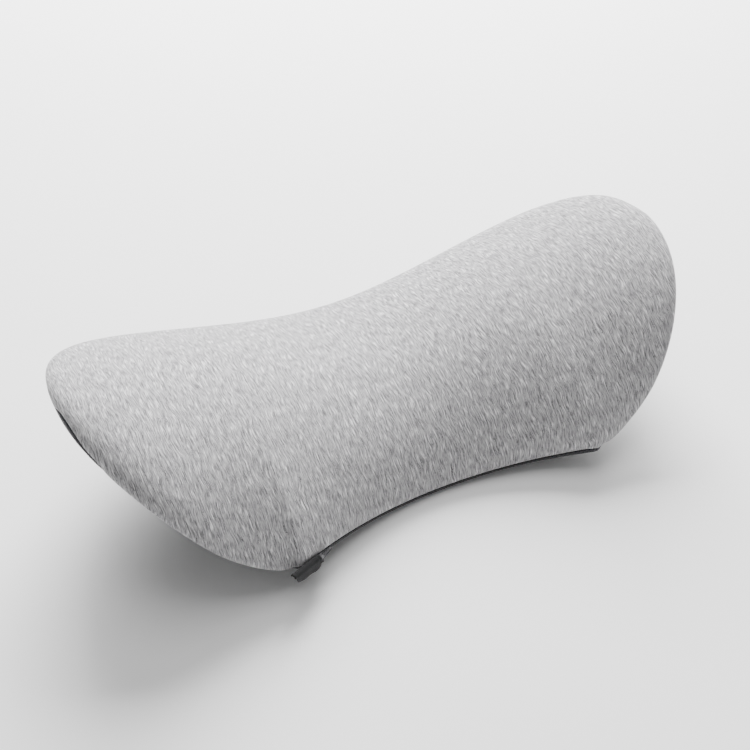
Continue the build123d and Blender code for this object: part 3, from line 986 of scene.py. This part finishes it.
def tab_point(along, down, out=0.0):
    """A point on the tab, a little off its middle if out is given."""
    n, u = tab_profile(down)
    n2, u2 = tab_profile(down + 0.05)
    length = math.hypot(n2 - n, u2 - u)
    growth = min(down / RIPPLE_GROWTH, 1.0)
    offset = out + RIPPLE_HEIGHT * math.sin(along * RIPPLE_RATE + RIPPLE_START) * growth
    n, u = n - (u2 - u) / length * offset, u + (n2 - n) / length * offset
    return zip_point(TAB_START, n, u, TAB_SLANT * down - along)


def soft_edge(edge, width, least):
    """Share of the full thickness at a distance from a pad's edge, which is rounded over width."""
    return math.sqrt(max(1 - (1 - min(edge / width, 1.0)) ** 2, least))


def dip(distance, width):
    """Share of a groove's depth at a distance from its middle."""
    return math.exp(-((distance / width) ** 2))


def tab_piece():
    """The folded cloth tab, a closed pad with soft edges."""
    across, deep = 44, 30
    outer, inner = [], []
    for i in range(across):
        along = TAB_LENGTH * (0.5 - 0.5 * math.cos(math.pi * i / (across - 1)))
        reach = TAB_OVER + tab_depth(along)
        for j in range(deep):
            share = math.sin(0.5 * math.pi * j / (deep - 1))
            down = reach * share
            edge = min(along, TAB_LENGTH - along, reach - down)
            half = TAB_THICKNESS / 2 * soft_edge(edge, TAB_SOFT_EDGE, 0.03)
            half -= TAB_GROOVE * dip(edge - TAB_MARGIN, TAB_GROOVE_WIDTH)
            outer.append(tab_point(along, down, half))
            inner.append(tab_point(along, down, -half))
    faces = pad_faces(across, deep)
    return mesh_piece("charcoal_fabric_tab", outer + inner, faces, TAB_CLOTH)


# How far along a stitch each of its points lies, and how many thread radii above the cloth
STITCH_SHAPE = ((0.0, -0.6), (0.15, 0.5), (0.5, 0.9), (0.85, 0.5), (1.0, -0.6))


def stitches(name, paths, length, gap, radius):
    """Rows of single arched stitches along lists of points, each point with its outward way."""
    threads = []
    for points, outs in paths:
        points, outs = np.asarray(points, float), np.asarray(outs, float)
        run = run_along(points)
        count = int((run[-1] + gap) // (length + gap))
        for k in range(count):
            thread = []
            for share, rise in STITCH_SHAPE:
                at = k * (length + gap) + length * share
                point = np.array([np.interp(at, run, points[:, c]) for c in range(3)])
                out = np.array([np.interp(at, run, outs[:, c]) for c in range(3)])
                thread.append(point + out * radius * rise)
            threads.append(thread)
    vertices, faces = tube_mesh(threads, radius)
    return mesh_piece(name, vertices, faces, THREAD)


tab = tab_piece()
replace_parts(tab, "zip_tab")


def tab_stitch_path():
    """Stitch line round the tab, a little inside its edge."""
    points, outs = [], []
    for share in np.linspace(0.0, 1.0, 60):
        along = TAB_MARGIN + (TAB_LENGTH - 2 * TAB_MARGIN - STITCH_SHORT_OF_END) * share
        down = TAB_OVER + tab_depth(along) - TAB_MARGIN
        points.append(tab_point(along, down, TAB_THICKNESS / 2 - STITCH_SUNK))
        outs.append(tab_point(along, down, TAB_THICKNESS / 2 - STITCH_SUNK + 1.0) - points[-1])
    return points, outs


stitches("tab_stitches", [tab_stitch_path()], 2.1, 0.7, 0.17)


# ---------------- stitch row on the back cover

ROW_PAST_ZIP, ROW_FROM_SEAM = 8.0, 6.0


def back_row(distance):
    """Points and outward ways along the back cover at a distance from the waist seam."""
    outs = grid_normals(BACK, False)
    points, ways = [], []
    for column in range(COLUMNS):
        x = BACK[column, 0, 0]
        if abs(x) > ZIP_HALF_SPAN + ROW_PAST_ZIP:
            continue
        run = BACK_SEAM[column, : ROWS // 2]
        index = int(np.searchsorted(run, distance))
        share = (distance - run[index - 1]) / (run[index] - run[index - 1])
        points.append(BACK[column, index - 1] * (1 - share) + BACK[column, index] * share)
        ways.append(outs[column, index])
    return points, ways


stitches("zip_tape_stitches", [back_row(ROW_FROM_SEAM)], 2.6, 0.8, 0.2)


# ---------------- elastic strap and its patches

def band_point(angle, y, radius):
    """A point on the back's lengthwise arc."""
    turn = math.radians(angle)
    return np.array([radius * math.sin(turn), y, BACK_RADIUS - radius * math.cos(turn)])


RIB_COUNT, RIB_STEPS, RIB_HEIGHT = 17, 6, 0.28
SELVEDGE, INNER_GAP = 0.5, 0.35


def strap_piece():
    """Elastic webbing with raised lengthwise ribs and rounded selvedges."""
    lengths, across = 181, RIB_COUNT * RIB_STEPS + 1
    shares = [j / (across - 1) for j in range(across)]
    ribs = [RIB_HEIGHT * (0.5 - 0.5 * math.cos(2 * math.pi * RIB_COUNT * share)) for share in shares]
    ring = []
    for share, rib in zip(shares, ribs):
        drop = SELVEDGE * dip(min(share, 1 - share) * STRAP_WIDTH, SELVEDGE)
        ring.append((share, BACK_RADIUS - RIB_HEIGHT + rib - drop))
    for share, rib in zip(reversed(shares), reversed(ribs)):
        ring.append((share, BACK_RADIUS - STRAP_THICKNESS + INNER_GAP - rib))
    ring = [(STRAP_MIDDLE + STRAP_WIDTH * (share - 0.5), radius) for share, radius in ring]
    vertices = []
    for i in range(lengths):
        angle = -STRAP_HALF_ANGLE + 2 * STRAP_HALF_ANGLE * i / (lengths - 1)
        vertices += [band_point(angle, y, radius) for y, radius in ring]
    size = 2 * across
    faces = grid_faces(lengths, size, wrap=True)
    faces.append(tuple(range(size)))
    faces.append(tuple(reversed(range((lengths - 1) * size, lengths * size))))
    return mesh_piece("elastic_back_strap", vertices, faces, WEBBING)


strap = strap_piece()
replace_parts(strap, "back_strap")

PATCH_ANGLE, PATCH_WIDTH, PATCH_THICKNESS, PATCH_GAP = 6.5, 46.0, 1.0, 0.05
PATCH_LENGTH = math.radians(PATCH_ANGLE) * BACK_RADIUS
PATCH_OVERHANG, PATCH_EDGE, PATCH_SOFT_EDGE = 1.0, 0.15, 0.9
BOX_MARGIN, BOX_PRESS, BOX_WIDTH = 3.0, 0.35, 0.7
CROSS_PRESS, CROSS_WIDTH, CROSS_SLANT = 0.28, 0.8, 0.6
PATCH_STITCH_SUNK = 0.25


def patch_piece(name, first):
    """A sewn patch over one end of the strap, pressed in along its stitch lines, with soft edges."""
    along, across = 61, 71
    span, half = PATCH_LENGTH / 2 - BOX_MARGIN, PATCH_WIDTH / 2 - BOX_MARGIN
    outer, inner = [], []
    for i in range(along):
        share = 0.5 - 0.5 * math.cos(math.pi * i / (along - 1))
        for j in range(across):
            side = -math.cos(math.pi * j / (across - 1)) * 0.5
            y, x = PATCH_WIDTH * side, PATCH_LENGTH * share
            edge = min(x, PATCH_LENGTH - x, PATCH_WIDTH / 2 - abs(y))
            soft = soft_edge(edge, PATCH_SOFT_EDGE, 0.02)
            press = BOX_PRESS * dip(edge - BOX_MARGIN, BOX_WIDTH)
            if edge > BOX_MARGIN:
                diagonal = abs(abs(y) - abs(x - PATCH_LENGTH / 2) / span * half) * CROSS_SLANT
                press = max(press, CROSS_PRESS * dip(diagonal, CROSS_WIDTH))
            high = PATCH_GAP + PATCH_EDGE + (PATCH_THICKNESS - PATCH_EDGE) * soft - press
            angle = first + PATCH_ANGLE * share
            outer.append(band_point(angle, STRAP_MIDDLE + y, BACK_RADIUS + high))
            inner.append(band_point(angle, STRAP_MIDDLE + y, BACK_RADIUS + PATCH_GAP))
    return mesh_piece(name, outer + inner, pad_faces(along, across, flip=True), PATCH)


def patch_stitch_paths(first):
    """Box and cross of stitches on a patch."""
    low, high = BOX_MARGIN, PATCH_LENGTH - BOX_MARGIN
    half = PATCH_WIDTH / 2 - BOX_MARGIN
    radius = BACK_RADIUS + PATCH_GAP + PATCH_THICKNESS - PATCH_STITCH_SUNK
    corners = [(low, -half), (high, -half), (high, half), (low, half)]
    lines = [(corners[k], corners[(k + 1) % 4]) for k in range(4)]
    lines += [(corners[0], corners[2]), (corners[1], corners[3])]
    paths = []
    for (x0, y0), (x1, y1) in lines:
        points, outs = [], []
        for share in np.linspace(0.0, 1.0, 25):
            x, y = x0 + (x1 - x0) * share, y0 + (y1 - y0) * share
            turn = math.radians(first) + x / BACK_RADIUS
            points.append(band_point(math.degrees(turn), STRAP_MIDDLE + y, radius))
            outs.append([math.sin(turn), 0.0, -math.cos(turn)])
        paths.append((points, outs))
    return paths


PATCH_END = STRAP_HALF_ANGLE + PATCH_OVERHANG
for side, first in (("left", -PATCH_END), ("right", PATCH_END - PATCH_ANGLE)):
    patch = patch_piece("sewn_strap_patch_" + side, first)
    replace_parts(patch, "strap_patch_" + side)
    stitches("patch_stitches_" + side, patch_stitch_paths(first), 2.4, 0.8, 0.2)


# ---------------- floor, light and camera

def floor_material():
    """Plain pale floor with a barely visible mottle."""
    n = Nodes("pale_floor")
    mottle = n.noise(n.place(), 0.01, 2.0)
    return n.finish(n.colour(mottle, (0.93, 0.93, 0.93), (0.95, 0.95, 0.95)), 0.9, specular=0.1)


FLOOR_HALF, FLOOR_DROP = 6.0, 0.02
corners = [(x * FLOOR_HALF, y * FLOOR_HALF, 0.0) for x, y in ((-1, -1), (1, -1), (1, 1), (-1, 1))]
floor_mesh = bpy.data.meshes.new("floor")
floor_mesh.from_pydata(corners, [], [(0, 1, 2, 3)])
floor_mesh.materials.append(floor_material())
floor = link("floor", floor_mesh)
floor.location.z = -FLOOR_DROP * MM


def area_light(name, place, target, size, power):
    """A soft square light that points at a target, in metres."""
    data = bpy.data.lights.new(name, "AREA")
    data.shape = "SQUARE"
    data.size = size
    data.energy = power
    lamp = link(name, data)
    lamp.location = place
    lamp.rotation_euler = (Vector(target) - Vector(place)).to_track_quat("-Z", "Y").to_euler()


area_light("back_softbox", (0.6, 1.35, 1.1), (0.0, 0.0, 0.05), size=1.1, power=150.0)
area_light("top_softbox", (0.1, 0.25, 1.7), (0.0, 0.0, 0.0), size=1.2, power=14.0)

SKY_STRENGTH = 0.33
world = bpy.data.worlds.new("studio")
world.use_nodes = True
sky = world.node_tree.nodes["Background"]
sky.inputs["Color"].default_value = (1.0, 1.0, 1.0, 1.0)
sky.inputs["Strength"].default_value = SKY_STRENGTH
bpy.context.scene.world = world

CAMERA_AZIMUTH, CAMERA_ELEVATION, CAMERA_ROLL = 31.1, 44.4, -3.77
CAMERA_DISTANCE, CAMERA_TARGET = 816.0, Vector((0.0, PLAN_SHIFT, 38.0))
CAMERA_LENS, CAMERA_SENSOR, CAMERA_NEAREST = 56.4, 36.0, 0.01
CAMERA_SHIFT = (-0.0122, 0.0124)
azimuth, elevation = math.radians(CAMERA_AZIMUTH), math.radians(CAMERA_ELEVATION)
level = math.cos(elevation)
away = Vector((-math.sin(azimuth) * level, -math.cos(azimuth) * level, math.sin(elevation)))
camera_data = bpy.data.cameras.new("camera")
camera_data.lens = CAMERA_LENS
camera_data.sensor_width = CAMERA_SENSOR
camera_data.shift_x, camera_data.shift_y = CAMERA_SHIFT
camera_data.clip_start = CAMERA_NEAREST
camera = link("camera", camera_data)
camera.location = (CAMERA_TARGET + away * CAMERA_DISTANCE) * MM
looking = (-away).to_track_quat("-Z", "Y")
camera.rotation_mode = "QUATERNION"
camera.rotation_quaternion = looking @ Quaternion((0, 0, 1), math.radians(-CAMERA_ROLL))
bpy.context.scene.camera = camera
